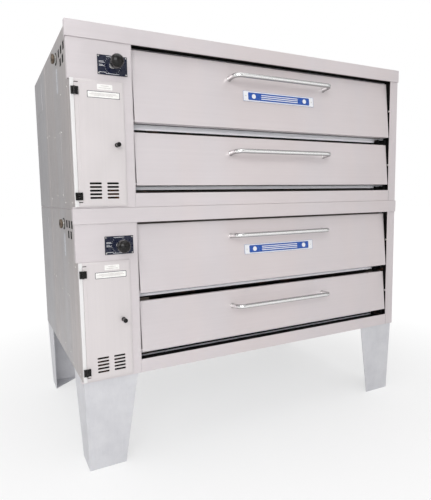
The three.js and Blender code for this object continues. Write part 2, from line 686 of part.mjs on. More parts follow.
/** The four legs under the lower section, each at its corner. */
function legs() {
  const group = new THREE.Group();
  group.position.set(GAS_UNION_REACH / 2, (KNOB_REACH - DEPTH) / 2, LEG_HEIGHT);
  for (const [side, towardX] of [["left", 1], ["right", -1]]) {
    for (const [end, towardY] of [["front", 1], ["rear", -1]]) {
      const mesh = add(group, `${end}_${side}_leg`, leg(towardX, towardY), "legSteel");
      mesh.position.x = -towardX * (WIDTH / 2 - LEG.cornerInset);
      mesh.position.y = towardY > 0 ? 4 : DEPTH - 4;
    }
  }
  return group;
}

// ---------------------------------------------------------------- the whole oven
const group = new THREE.Group();
group.add(
  legs(),
  ovenSection("lower", LEG_HEIGHT),
  ovenSection("upper", LEG_HEIGHT + SECTION_HEIGHT),
);

export default group;
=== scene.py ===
"""Looks of the double-stacked gas deck oven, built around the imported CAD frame. Metres, +Z up."""

import json
import math

import bmesh
import bpy
from mathutils import Matrix, Vector

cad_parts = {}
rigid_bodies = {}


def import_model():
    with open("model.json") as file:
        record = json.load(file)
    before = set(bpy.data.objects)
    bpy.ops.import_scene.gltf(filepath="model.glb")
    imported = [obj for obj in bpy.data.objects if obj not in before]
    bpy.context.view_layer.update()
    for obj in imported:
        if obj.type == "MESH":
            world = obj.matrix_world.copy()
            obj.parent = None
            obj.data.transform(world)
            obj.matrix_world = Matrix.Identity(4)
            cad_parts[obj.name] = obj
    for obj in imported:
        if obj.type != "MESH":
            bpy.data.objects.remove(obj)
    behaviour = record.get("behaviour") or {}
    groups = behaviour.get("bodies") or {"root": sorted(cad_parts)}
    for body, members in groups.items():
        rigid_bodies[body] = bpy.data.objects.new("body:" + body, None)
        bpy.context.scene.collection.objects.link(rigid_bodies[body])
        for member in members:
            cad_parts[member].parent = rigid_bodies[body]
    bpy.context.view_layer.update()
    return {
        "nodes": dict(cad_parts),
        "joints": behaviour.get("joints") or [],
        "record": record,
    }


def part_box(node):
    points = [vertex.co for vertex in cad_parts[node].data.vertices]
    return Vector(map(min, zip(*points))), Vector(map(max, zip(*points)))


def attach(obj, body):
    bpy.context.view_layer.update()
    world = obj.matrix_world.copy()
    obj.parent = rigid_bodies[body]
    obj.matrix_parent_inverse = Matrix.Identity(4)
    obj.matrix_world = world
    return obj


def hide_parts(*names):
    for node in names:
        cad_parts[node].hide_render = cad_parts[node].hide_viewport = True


for leftover in list(bpy.data.objects):
    bpy.data.objects.remove(leftover)
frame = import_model()

# ---------------------------------------------------------------- driving values
MM = 0.001
SECTIONS = ("lower", "upper")
DOOR_LEAN = math.radians(5)
EDGE_ROUND = 0.9 * MM  # folded sheet edges
SHARP_ANGLE = math.radians(35)
X_AXIS, Y_AXIS, Z_AXIS = Vector((1, 0, 0)), Vector((0, 1, 0)), Vector((0, 0, 1))


# ---------------------------------------------------------------- shader nodes
class Shader:
    """Nodes of one material or world; inputs are plain values or other nodes' outputs."""

    def __init__(self, name, kept_in=bpy.data.materials):
        self.owner = kept_in.new(name)
        self.owner.use_nodes = True
        self.tree = self.owner.node_tree
        self.coordinates = self.node("TexCoord").outputs
        self.place = self.coordinates["Object"]

    def node(self, kind, settings=None, **inputs):
        made = self.tree.nodes.new("ShaderNode" + kind)
        for key, value in (settings or {}).items():
            setattr(made, key, value)
        for key, value in inputs.items():
            self.put(made.inputs[key.replace("_", " ")], value)
        return made

    def put(self, socket, value):
        if isinstance(value, bpy.types.NodeSocket):
            self.tree.links.new(value, socket)
        elif socket.type == "RGBA":
            socket.default_value = (*value, 1.0)
        else:
            socket.default_value = value

    def math(self, operation, first, second):
        made = self.tree.nodes.new("ShaderNodeMath")
        made.operation = operation
        self.put(made.inputs[0], first)
        self.put(made.inputs[1], second)
        return made.outputs[0]

    def noise(self, scale, detail=3.0, roughness=0.55, stretch=(1, 1, 1), shift=(0, 0, 0)):
        """Noise over the object's own place; stretch squeezes it along an axis to make grain."""
        mapping = self.node("Mapping", Vector=self.place, Scale=stretch, Location=shift)
        place = mapping.outputs[0]
        made = self.node("TexNoise", Vector=place, Scale=scale, Detail=detail, Roughness=roughness)
        return made.outputs[0]

    def fit(self, value, low, high, new_low, new_high, smooth=False):
        """A value taken from one range to another."""
        made = self.tree.nodes.new("ShaderNodeMapRange")
        made.interpolation_type = "SMOOTHSTEP" if smooth else "LINEAR"
        for socket, entry in zip(made.inputs, (value, low, high, new_low, new_high)):
            self.put(socket, entry)
        return made.outputs[0]

    def scale(self, colour, factor):
        """A colour made lighter or darker."""
        return self.node("VectorMath", {"operation": "SCALE"}, Vector=colour, Scale=factor).outputs[0]

    def mix(self, share, first, second):
        """Colour mix."""
        made = self.tree.nodes.new("ShaderNodeMix")
        made.data_type = "RGBA"
        for index, value in ((0, share), (6, first), (7, second)):
            self.put(made.inputs[index], value)
        return made.outputs[2]

    def axis(self, name):
        """One coordinate of the object's own place."""
        return self.node("SeparateXYZ", Vector=self.place).outputs[name]

    def bump(self, height, distance, strength=1.0, normal=None):
        made = self.node("Bump", Height=height, Distance=distance, Strength=strength)
        if normal is not None:
            self.put(made.inputs["Normal"], normal)
        return made.outputs[0]

    def finish(self, colour, roughness, metallic=0.0, normal=None, **more):
        """Connects the surface and returns the material."""
        more.update(Base_Color=colour, Roughness=roughness, Metallic=metallic)
        if normal is not None:
            more["Normal"] = normal
        for key, value in more.items():
            self.put(self.tree.nodes["Principled BSDF"].inputs[key.replace("_", " ")], value)
        return self.owner


# ---------------------------------------------------------------- materials
GRAIN = {"x": (0.05, 6, 6), "z": (6, 6, 0.05)}


def brushed(name, tones, metallic, roughness, grain="x", streak=0.012, smudge=0.03, dark_inside=None):
    """Brushed sheet: two tones mixed in soft vertical bands as a painted reflection, fine grain, wider
    soft streaks, smudges in the gloss, and a slightly wavy sheet.
    """
    s = Shader(name)
    # painted reflection: the two tones mix in soft vertical bands that stand in for light reflected in
    # the sheet
    band = s.noise(2.4, detail=3, stretch=(1, 1, 0.06), shift=(2.0, 0.3, 0.0))
    colour = s.mix(s.fit(band, 0.38, 0.62, 0, 1, smooth=True), tones[0], tones[1])
    fine = s.noise(220, detail=2, stretch=GRAIN[grain])
    wide = s.noise(22, detail=3, stretch=GRAIN[grain], shift=(3.1, 0.7, 1.9))
    cloud = s.noise(2.6, detail=3, shift=(0.4, 2.2, 5.1))
    handled = s.noise(11, detail=4, roughness=0.7, shift=(7.0, 1.0, 0.0))
    streaks = s.fit(wide, 0.3, 0.7, 1 - streak, 1 + streak)
    shade = s.math("ADD", streaks, s.fit(fine, 0.3, 0.7, -0.008, 0.008))
    shade = s.math("MULTIPLY", shade, s.fit(cloud, 0.3, 0.7, 1 - smudge, 1 + smudge / 2))
    scaled = s.scale(colour, shade)
    gloss = s.math("ADD", roughness, s.fit(handled, 0.35, 0.7, -0.05, 0.07))
    gloss = s.math("ADD", gloss, s.fit(fine, 0.3, 0.7, -0.03, 0.03))
    wave = s.bump(s.noise(1.7, detail=1, shift=(1.0, 1.0, 4.0)), 0.004, 0.35)
    normal = s.bump(fine, 0.008 * MM, 0.4, wave)
    shine = 0.5
    if dark_inside:
        scaled, metallic, gloss, shine = shade_recess(s, scaled, metallic, gloss, *dark_inside)
    return s.finish(scaled, gloss, metallic, normal, Specular_IOR_Level=shine)


def shade_recess(s, colour, metallic, gloss, dark_start, dark_end, outer_side):
    """Painted shade: blacked behind the front plane, for the dark inside of the opening's jambs; the
    ledge rails behind that are pale galvanised strip.
    """
    depth = s.axis("Y")
    inside = s.math("LESS_THAN", s.axis("X"), outer_side)
    # painted shade: the jamb recess is blacked by its depth behind the front plane, where shade falls
    painted_recess_shade = s.math("MULTIPLY", inside, s.fit(depth, dark_start - 0.5 * MM, dark_start, 0, 1))
    ledge = s.math("MULTIPLY", inside, s.fit(depth, dark_end - 0.5 * MM, dark_end, 0, 1))
    soot = s.fit(s.noise(30, detail=4), 0.35, 0.7, 0.6, 1.6)
    # near-black painted shade for the recess, slightly mottled
    black = s.scale((0.004, 0.0038, 0.0036), soot)
    strip = s.noise(60, detail=2, stretch=GRAIN["x"])
    pale = s.mix(s.fit(strip, 0.3, 0.7, 0, 1), (0.92, 0.92, 0.98), (0.98, 0.98, 1.0))
    colour = s.mix(ledge, s.mix(painted_recess_shade, colour, black), pale)
    metallic = s.math("MULTIPLY", metallic, s.math("SUBTRACT", 1.0, painted_recess_shade))
    gloss = s.math("ADD", gloss, s.math("MULTIPLY", painted_recess_shade, 0.2))
    shine = s.mix(ledge, s.mix(painted_recess_shade, (0.5, 0.5, 0.5), (0.08, 0.08, 0.08)), (0.5, 0.5, 0.5))
    return colour, metallic, gloss, shine


def chrome():
    """Polished metal: faint marks and prints; a painted reflection darkens its tone where the surface
    faces down and dims it where it faces up.
    """
    s = Shader("chrome_polished")
    marks = s.noise(160, detail=3, stretch=(0.2, 4, 4))
    prints = s.noise(28, detail=4, roughness=0.7)
    facing = s.node("NewGeometry").outputs["Normal"]
    rise = s.node("SeparateXYZ", Vector=facing).outputs["Z"]
    # painted reflection: the base tone is scaled by the normal's height, dark underneath and dimmer on
    # top
    below = s.fit(rise, -0.85, -0.35, 0.42, 1, smooth=True)
    above = s.fit(rise, 0.15, 0.6, 1, 0.58, smooth=True)
    gloss = s.math("ADD", s.fit(prints, 0.4, 0.7, 0.23, 0.26), s.fit(marks, 0.3, 0.7, -0.01, 0.01))
    tone = s.mix(s.fit(prints, 0.4, 0.75, 0, 1), (0.96, 0.955, 0.95), (0.92, 0.915, 0.91))
    tone = s.scale(tone, s.math("MULTIPLY", below, above))
    return s.finish(tone, gloss, 1.0, s.bump(marks, 0.003 * MM, 0.3))


def moulded_black(name, gloss_base):
    """Black moulded plastic with a fine eggshell texture and worn, greyer spots."""
    s = Shader(name)
    grit = s.noise(1800, detail=2)
    wear = s.noise(60, detail=4, roughness=0.7)
    tone = s.mix(s.fit(wear, 0.45, 0.75, 0, 1), (0.007, 0.0065, 0.0065), (0.02, 0.018, 0.018))
    gloss = s.math("ADD", gloss_base, s.fit(wear, 0.35, 0.7, -0.03, 0.10))
    return s.finish(tone, gloss, 0.0, s.bump(grit, 0.01 * MM, 0.4), Specular_IOR_Level=0.32)


def stained(name, stain, spread, tones, gloss, relief, depth, strength, metallic=0.0):
    """Stains change the tone and the gloss, over a fine relief whose depth is in millimetres."""
    s = Shader(name)
    stains = s.noise(*stain)
    tone = s.mix(s.fit(stains, *spread), *tones)
    normal = s.bump(s.noise(*relief), depth * MM, strength)
    return s.finish(tone, s.fit(stains, *gloss), metallic, normal)


def enamel(name, colour, worn):
    """Printed or enamelled plate: nearly flat colour, slight orange peel and small scuffs."""
    return stained(name, (90, 5, 0.75), (0.5, 0.8, 0, 0.8), (colour, worn), (0.35, 0.7, 0.22, 0.42),
                   relief=(700, 1), depth=0.01, strength=0.4)


def heat_tinted():
    """Chamber sheet that has been through the heat: straw and blue-brown patches."""
    s = Shader("heat_tinted_sheet")
    patch = s.noise(3.5, detail=5, roughness=0.6)
    grain = s.noise(120, detail=2, stretch=GRAIN["x"])
    warm = s.mix(s.fit(patch, 0.35, 0.65, 0, 1), (0.30, 0.27, 0.24), (0.19, 0.15, 0.11))
    tone = s.mix(s.fit(grain, 0.3, 0.7, 0, 0.4), warm, (0.22, 0.21, 0.21))
    return s.finish(tone, s.fit(patch, 0.3, 0.7, 0.42, 0.62), 0.7, s.bump(grain, 0.03 * MM, 0.5))


def hearth_stone():
    """Pressed baking slab: sandy grain with scorched flour marks."""
    s = Shader("hearth_slab")
    grit = s.noise(420, detail=4, roughness=0.7)
    scorch = s.noise(5, detail=5, roughness=0.6)
    body = s.mix(s.fit(grit, 0.35, 0.65, 0, 1), (0.34, 0.28, 0.21), (0.46, 0.39, 0.30))
    tone = s.mix(s.fit(scorch, 0.5, 0.75, 0, 0.8), body, (0.10, 0.075, 0.055))
    return s.finish(tone, s.fit(grit, 0.3, 0.7, 0.75, 0.95), 0.0, s.bump(grit, 0.3 * MM, 0.6))


def rough_iron(name, colour, metallic, shine=0.5):
    """Cast or pipe iron: pitted, with rust breaking through."""
    s = Shader(name)
    pits = s.noise(300, detail=4, roughness=0.7)
    rust = s.noise(18, detail=5, roughness=0.65)
    tone = s.mix(s.fit(rust, 0.55, 0.75, 0, 0.7), colour, (0.14, 0.055, 0.025))
    relief = s.bump(pits, 0.2 * MM, 0.6)
    return s.finish(tone, s.fit(pits, 0.3, 0.7, 0.55, 0.8), metallic, relief, Specular_IOR_Level=shine)


def mineral_wool():
    """Yellowish fibre blanket."""
    s = Shader("mineral_wool_fibre")
    fibre = s.noise(260, detail=5, roughness=0.75, stretch=(1, 1, 3))
    clump = s.noise(16, detail=3)
    tone = s.mix(s.fit(fibre, 0.35, 0.65, 0, 1), (0.46, 0.36, 0.18), (0.72, 0.62, 0.40))
    return s.finish(tone, 0.95, 0.0, s.bump(s.math("ADD", fibre, clump), 3 * MM, 0.8))


def leg_sheet():
    """Cool grey leg sheet, softly mottled, with a faint vertical grain."""
    s = Shader("leg_sheet")
    mottle = s.noise(14, detail=4, roughness=0.65)
    grain = s.noise(90, detail=2, stretch=GRAIN["z"])
    tone = s.mix(s.fit(mottle, 0.3, 0.7, 0, 1), (0.60, 0.60, 0.63), (0.69, 0.69, 0.715))
    tone = s.mix(s.fit(grain, 0.3, 0.7, 0, 0.25), tone, (0.74, 0.74, 0.76))
    return s.finish(tone, s.fit(mottle, 0.3, 0.7, 0.40, 0.55), 0.35, s.bump(grain, 0.02 * MM, 0.5))


def rope_seal():
    """Braided glass-fibre rope, sooty."""
    s = Shader("rope_seal_braid")
    braid = s.node("TexWave", {"bands_direction": "DIAGONAL"}, Vector=s.place, Scale=90.0, Distortion=1.5)
    soot = s.noise(40, detail=4)
    tone = s.mix(s.fit(soot, 0.35, 0.7, 0, 1), (0.10, 0.095, 0.09), (0.03, 0.028, 0.027))
    return s.finish(tone, 0.9, 0.0, s.bump(braid.outputs[1], 0.6 * MM, 0.7))


def floor_paint():
    """Pale studio floor that clears to plain white away from the oven."""
    s = Shader("studio_floor")
    uneven = s.fit(s.noise(0.8, detail=2), 0.3, 0.7, 0, 1)
    tone = s.mix(uneven, (0.80, 0.80, 0.80), (0.77, 0.77, 0.775))
    reach = s.node("VectorMath", {"operation": "LENGTH"}, Vector=s.place).outputs["Value"]
    seen = s.node("LightPath").outputs["Is Camera Ray"]
    clear = s.math("MULTIPLY", s.fit(reach, 0.7, 2.6, 0.6, 1, smooth=True), seen)
    colour = s.mix(clear, tone, (0, 0, 0))
    return s.finish(colour, 0.75, Emission_Color=(1, 1, 1), Emission_Strength=clear)


front_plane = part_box("upper_front_frame")[0].y
stile_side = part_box("upper_front_frame")[1].x
STAINLESS = ((0.708, 0.645, 0.650), (0.692, 0.645, 0.660))  # pinkish and cooler tones; their soft vertical bands are a painted reflection
SERVICE_SHEET = ((0.705, 0.652, 0.650), (0.695, 0.652, 0.656))
HINGE_STILE = ((0.81, 0.79, 0.795), (0.80, 0.79, 0.79))
SIDE_SHEET = ((0.455, 0.445, 0.458), (0.485, 0.448, 0.440))
LABEL_FILM = ((0.90, 0.89, 0.87), (0.78, 0.76, 0.73))  # clean and soiled
DIE_CAST = ((0.50, 0.50, 0.51), (0.38, 0.37, 0.37))
ZINC = ((0.78, 0.78, 0.76), (0.55, 0.54, 0.50))
BRASS = ((0.27, 0.215, 0.165), (0.10, 0.078, 0.06))  # machined, and gone brown
TURNED = (6, 0.3, 0.3)  # marks of the lathe round the union's axis
MATERIALS = {
    "stainless": brushed("stainless_brushed", STAINLESS, 0.4, 0.42),
    # the frame is blacked behind its front plane as painted shade of the jamb recesses
    "frame": brushed("stainless_frame", STAINLESS, 0.4, 0.42,
                     dark_inside=(front_plane + 3 * MM, front_plane + 39 * MM, stile_side - 2.5 * MM)),
    "warm_steel": brushed("service_sheet", SERVICE_SHEET, 0.3, 0.45, grain="z"),
    "stile_steel": brushed("hinge_stile_sheet", HINGE_STILE, 0.2, 0.45, grain="z"),
    "side_steel": brushed("side_sheet", SIDE_SHEET, 0.5, 0.42, grain="z", streak=0.07, smudge=0.08),
    "leg_steel": leg_sheet(),
    "chrome": chrome(),
    "black_plastic": moulded_black("black_moulding", 0.20),
    "navy_plate": enamel("navy_enamel", (0.008, 0.011, 0.030), (0.03, 0.034, 0.055)),
    "badge_blue": enamel("blue_enamel", (0.010, 0.075, 0.36), (0.05, 0.12, 0.40)),
    "badge_white": enamel("white_enamel", (0.80, 0.81, 0.84), (0.62, 0.62, 0.64)),
    "label": stained("label_film", (45, 4, 0.7), (0.45, 0.8, 0, 1), LABEL_FILM, (0.3, 0.7, 0.45, 0.6),
                     relief=(900, 2), depth=0.01, strength=0.3),
    "faded_film": enamel("faded_film", (0.50, 0.51, 0.55), (0.46, 0.455, 0.47)),
    "hot_steel": heat_tinted(),
    "hearth": hearth_stone(),
    "cast_iron": rough_iron("cast_iron_rough", (0.05, 0.046, 0.044), 0.4),
    "black_pipe": rough_iron("black_pipe_iron", (0.035, 0.032, 0.03), 0.5),
    "aluminium": stained("die_cast_aluminium", (25, 4), (0.4, 0.7, 0, 1), DIE_CAST, (0.3, 0.7, 0.42, 0.6),
                         relief=(500, 3), depth=0.05, strength=0.5, metallic=0.85),
    "wool": mineral_wool(),
    "screw": stained("zinc_plated", (240, 3), (0.35, 0.7, 0, 1), ZINC, (0.3, 0.7, 0.2, 0.4),
                     relief=(240, 3), depth=0.03, strength=0.4, metallic=0.9),
    "rope": rope_seal(),
    "inner_black": rough_iron("inner_black_sheet", (0.004, 0.004, 0.004), 0.0, 0.12),
    "brass": stained("dull_brass", (60, 4), (0.35, 0.7, 0, 1), BRASS, (0.3, 0.7, 0.32, 0.55),
                     relief=(600, 2, 0.55, TURNED), depth=0.03, strength=0.4, metallic=0.9),
}


# ---------------------------------------------------------------- mesh helpers
def add_box(bm, low, high, edge=0.6 * MM, segments=2):
    """A box with rounded edges."""
    low, high = Vector(low), Vector(high)
    made = bmesh.ops.create_cube(bm, size=1.0)["verts"]
    for vert in made:
        vert.co = Vector(h if c > 0 else l for c, l, h in zip(vert.co, low, high))
    edges = {e for v in made for e in v.link_edges}
    room = min(h - l for l, h in zip(low, high)) * 0.45
    offset = min(edge, room)
    bmesh.ops.bevel(bm, geom=list(edges), offset=offset, segments=segments, profile=0.5, affect="EDGES")


def turn_to(axis):
    """Rotation that takes +Z to axis."""
    return Z_AXIS.rotation_difference(Vector(axis)).to_matrix()


def mm(profile):
    """A turned profile given in millimetres."""
    return [(radius * MM, height * MM) for radius, height in profile]


def join_rings(bm, rings, steps, loop):
    """Faces between neighbouring rings; a ring of one vertex is a pole, where they are triangles."""
    following = rings[1:] + rings[:1] if loop else rings[1:]
    for first, second in zip(rings, following):
        for step in range(steps):
            after = (step + 1) % steps
            path = ((first, after), (first, step), (second, step), (second, after))
            corners = [ring[turn % len(ring)] for ring, turn in path]
            bm.faces.new(list(dict.fromkeys(corners)))


def add_turned(bm, profile, centre, axis, steps=32):
    """A turned body of (radius, height) points. Ends on the axis close it; else its ends are joined."""
    turn = turn_to(axis)
    closed = profile[0][0] < 1e-9 and profile[-1][0] < 1e-9
    rings = []
    for radius, height in profile:
        if radius < 1e-9:
            rings.append([bm.verts.new(Vector(centre) + turn @ Vector((0, 0, height)))])
            continue
        ring = []
        for step in range(steps):
            angle = 2 * math.pi * step / steps
            local = Vector((radius * math.cos(angle), radius * math.sin(angle), height))
            ring.append(bm.verts.new(Vector(centre) + turn @ local))
        rings.append(ring)
    join_rings(bm, rings, steps, not closed)


def add_tube(bm, points, radius, sides=24, loop=False):
    """A round tube along points, with mitred rings; its ends are capped unless it is a loop."""
    points = [Vector(p) for p in points]
    count = len(points)
    rings = []
    side = None
    for i, point in enumerate(points):
        before = points[i - 1] if loop or i > 0 else None
        after = points[(i + 1) % count] if loop or i < count - 1 else None
        into = (point - before).normalized() if before is not None else None
        out = (after - point).normalized() if after is not None else None
        ahead = ((into or out) + (out or into)).normalized()
        if side is None:
            side = ahead.orthogonal().normalized()
        side = (side - ahead * side.dot(ahead)).normalized()
        third = ahead.cross(side)
        ring = []
        for step in range(sides):
            angle = 2 * math.pi * step / sides
            offset = side * math.cos(angle) + third * math.sin(angle)
            ring.append(bm.verts.new(point + offset * radius))
        rings.append(ring)
    join_rings(bm, rings, sides, loop)
    if not loop:
        bm.faces.new(list(reversed(rings[0])))
        bm.faces.new(rings[-1])


def arc(centre, start, end, radius, first, second, steps=10):
    """Points on an arc in the plane of two unit vectors, from start to end angle in degrees."""
    points = []
    for step in range(steps + 1):
        angle = math.radians(start + (end - start) * step / steps)
        offset = first * (radius * math.cos(angle)) + second * (radius * math.sin(angle))
        points.append(Vector(centre) + offset)
    return points


def add_plate(bm, outline, normal, thickness, edge=0.0):
    """A flat plate: outline points in space, thickened along normal, its outer edges softened."""
    base = [bm.verts.new(Vector(p)) for p in outline]
    top = [bm.verts.new(Vector(p) + Vector(normal) * thickness) for p in outline]
    count = len(base)
    faces = [bm.faces.new(list(reversed(base))), bm.faces.new(top)]
    for i in range(count):
        j = (i + 1) % count
        faces.append(bm.faces.new((base[i], base[j], top[j], top[i])))
    bmesh.ops.recalc_face_normals(bm, faces=faces)
    if edge:
        rim = list(faces[1].edges)
        bmesh.ops.bevel(bm, geom=rim, offset=edge, segments=2, profile=0.5, affect="EDGES")


def rounded_outline(centre, across, up, width, height, radius, steps=5):
    """Corner-rounded rectangle in the plane of two unit vectors."""
    points = []
    for turn, (sx, sy) in enumerate(((1, 1), (-1, 1), (-1, -1), (1, -1))):
        corner = Vector(centre) + across * (sx * (width / 2 - radius)) + up * (sy * (height / 2 - radius))
        points += arc(corner, 90 * turn, 90 * turn + 90, radius, across, up, steps)
    return points


def add_patch(bm, centre, size, radius, thickness, edge=0.0, steps=5, normal=-Y_AXIS):
    """A thin corner-rounded patch on an upright face; every size is in millimetres."""
    width, height = size
    across = X_AXIS if normal.x == 0 else Y_AXIS
    outline = rounded_outline(centre, across, Z_AXIS, width * MM, height * MM, radius * MM, steps)
    add_plate(bm, outline, normal, thickness * MM, edge * MM)


def add_screw(bm, place, normal, radius):
    """Pan-head screw with a washer rim and a socket in its head."""
    height = radius * 0.62
    profile = [(0, -height * 0.3), (radius * 1.05, -height * 0.3), (radius * 1.05, height * 0.12),
               (radius, height * 0.3), (radius * 0.82, height * 0.8), (radius * 0.5, height),
               (radius * 0.36, height), (radius * 0.3, height * 0.45), (0, height * 0.45)]
    add_turned(bm, profile, place, normal, steps=16)


def add_bolt(bm, place, normal, radius):
    """Hexagon bolt head on a washer."""
    rim = radius * 1.45
    washer = [(0, 0), (rim, 0), (rim, 1.4 * MM), (radius * 0.9, 1.5 * MM), (0, 1.5 * MM)]
    add_turned(bm, washer, place, normal, steps=20)
    head = [(0, 1.4 * MM), (radius, 1.4 * MM), (radius, 5 * MM), (radius * 0.86, 6.2 * MM), (0, 6.2 * MM)]
    add_turned(bm, head, place, normal, steps=6)


def make(name, bm, material, body, place=None, replaces=()):
    """Turns a bmesh into a piece of the object that rides on a CAD body."""
    mesh = bpy.data.meshes.new(name)
    if place is not None:
        bm.transform(place)
    bmesh.ops.recalc_face_normals(bm, faces=bm.faces[:])
    bm.to_mesh(mesh)
    bm.free()
    mesh.polygons.foreach_set("use_smooth", [True] * len(mesh.polygons))
    mesh.set_sharp_from_angle(angle=SHARP_ANGLE)
    mesh.materials.append(MATERIALS[material])
    piece = bpy.data.objects.new(name, mesh)
    bpy.context.scene.collection.objects.link(piece)
    even = piece.modifiers.new("even_normals", "WEIGHTED_NORMAL")
    even.keep_sharp = True
    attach(piece, body)
    if replaces:
        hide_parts(*replaces)


# ---------------------------------------------------------------- CAD nodes: materials and soft edges
def smooth_by_angle():
    """Geometry nodes that shade smooth, except over edges sharper than SHARP_ANGLE."""
    tree = bpy.data.node_groups.new("smooth_by_angle", "GeometryNodeTree")
    tree.interface.new_socket("Geometry", in_out="INPUT", socket_type="NodeSocketGeometry")
    tree.interface.new_socket("Geometry", in_out="OUTPUT", socket_type="NodeSocketGeometry")
    source = tree.nodes.new("NodeGroupInput")
    result = tree.nodes.new("NodeGroupOutput")
    faces = tree.nodes.new("GeometryNodeSetShadeSmooth")
    edges = tree.nodes.new("GeometryNodeSetShadeSmooth")
    edges.domain = "EDGE"
    edges.inputs["Shade Smooth"].default_value = False
    angle = tree.nodes.new("GeometryNodeInputMeshEdgeAngle")
    sharp = tree.nodes.new("FunctionNodeCompare")
    sharp.operation = "GREATER_THAN"
    sharp.inputs[1].default_value = SHARP_ANGLE
    tree.links.new(source.outputs[0], faces.inputs["Geometry"])
    tree.links.new(faces.outputs[0], edges.inputs["Geometry"])
    tree.links.new(angle.outputs["Unsigned Angle"], sharp.inputs[0])
    tree.links.new(sharp.outputs[0], edges.inputs["Selection"])
    tree.links.new(edges.outputs[0], result.inputs[0])
    return tree


SMOOTH = smooth_by_angle()


def soften(node):
    """Rounds a CAD node's folded edges with modifiers; its own mesh is left alone."""
    piece = frame["nodes"][node]
    piece.modifiers.new("weld", "WELD").merge_threshold = 0.01 * MM
    flat = piece.modifiers.new("flat_faces", "DECIMATE")
    flat.decimate_type = "DISSOLVE"
    flat.angle_limit = math.radians(0.5)
    fold = piece.modifiers.new("folds", "BEVEL")
    fold.width = EDGE_ROUND
    fold.segments = 2
    fold.limit_method = "ANGLE"
    fold.angle_limit = SHARP_ANGLE
    piece.modifiers.new("smooth", "NODES").node_group = SMOOTH
    even = piece.modifiers.new("even_normals", "WEIGHTED_NORMAL")
    even.keep_sharp = True


NODE_MATERIAL = {"front_frame": "frame", "deck_door_badge": "badge_white", "service_frame": "stile_steel"}
slots = {row["node"]: row["material_slot"] for row in frame["record"]["subparts"]}
for node_name, node_object in frame["nodes"].items():
    kind = node_name.split("_", 1)[1]
    node_object.data.materials.clear()
    node_object.data.materials.append(MATERIALS[NODE_MATERIAL.get(kind, slots[node_name])])
    if slots[node_name] not in ("wool", "hearth"):
        soften(node_name)


# ---------------------------------------------------------------- places in a section and on a door
OUTWARD = {"left": -X_AXIS, "right": X_AXIS}


class Section:
    """One oven section; places are in millimetres from its corner, as in the CAD source."""

    def __init__(self, name):
        self.name = name
        self.origin = Vector((
            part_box(f"{name}_top_cover")[0].x,
            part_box(f"{name}_front_frame")[0].y,
            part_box(f"{name}_base_pan")[0].z,
        ))

    def at(self, x, y, z):
        return self.origin + Vector((x, y, z)) * MM

    def box(self, node):
        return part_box(f"{self.name}_{node}")

    def joint(self, name):
        return next(j for j in frame["joints"] if j["name"] == f"{self.name}_{name}")

    def on_side(self, side, y, z, lift=0.0):
        """A place on the left or right side panel, lifted off it by some millimetres."""
        face = self.box("side_casing")[0 if side == "left" else 1].x
        return Vector((face, self.at(0, y, 0).y, self.at(0, 0, z).z)) + OUTWARD[side] * lift * MM

    def on_back(self, x, z, lift):
        """A place on the back panel, lifted off it by some millimetres."""
        place = self.at(x, 0, z)
        place.y = self.box("side_casing")[1].y + lift * MM
        return place

    def knob(self, node):
        """The place where a knob's axis meets the face behind it, and the knob's length and radius."""
        low, high = self.box(node)
        centre = Vector(((low.x + high.x) / 2, high.y, (low.z + high.z) / 2))
        return centre, high.y - low.y, (high.x - low.x) / 2

    def door_place(self, joint_name):
        """The leaned frame on a door's hinge line: x across, y back through the door, z up along it."""
        pivot = Vector(self.joint(joint_name)["pos_m"])
        pivot.x = self.origin.x
        return Matrix.Translation(pivot) @ Matrix.Rotation(-DOOR_LEAN, 4, "X")

    def make(self, name, bm, material, body="oven", place=None, replaces=()):
        rider = body if body == "oven" else f"{self.name}_{body}"
        hidden = [f"{self.name}_{node}" for node in replaces]
        make(f"{self.name}_{name}", bm, material, rider, place, hidden)


DOOR_FACE = -10 * MM  # the door's front face, from its hinge line
HANDLE_MIDDLE = 921 * MM
HANDLE = {"span": 508 * MM, "out": 60.3 * MM, "radius": 9.5 * MM, "bend": 30 * MM}
HANDLE_HEIGHT = {"deck_door": 198 * MM, "burner_door": 128.5 * MM}


def door_handle(section, door):
    """Bent polished tube with flattened, welded feet."""
    place = section.door_place(f"{door}_hinge")
    z = HANDLE_HEIGHT[door]
    left = HANDLE_MIDDLE - HANDLE["span"] / 2
    right = HANDLE_MIDDLE + HANDLE["span"] / 2
    foot = DOOR_FACE - 0.4 * MM
    out = DOOR_FACE - HANDLE["out"]
    bend = HANDLE["bend"]
    path = [Vector((left, foot, z))]
    path += arc((left + bend, out + bend, z), 180, 270, bend, X_AXIS, Y_AXIS)
    path += arc((right - bend, out + bend, z), -90, 0, bend, X_AXIS, Y_AXIS)
    path.append(Vector((right, foot, z)))
    bm = bmesh.new()
    add_tube(bm, path, HANDLE["radius"], sides=32)
    for x in (left, right):
        collar = [(0, 0), (11.5 * MM, 0), (11.2 * MM, 2 * MM), (9.9 * MM, 4.5 * MM), (0, 4.5 * MM)]
        add_turned(bm, collar, (x, foot, z), -Y_AXIS)
    section.make(f"{door}_handle_tube", bm, "chrome", door, place, [f"{door}_handle"])


BADGE_SIZE = (380, 43)  # millimetres
BADGE_MIDDLE = Vector((921, -13.3, 134)) * MM  # on the door's own frame


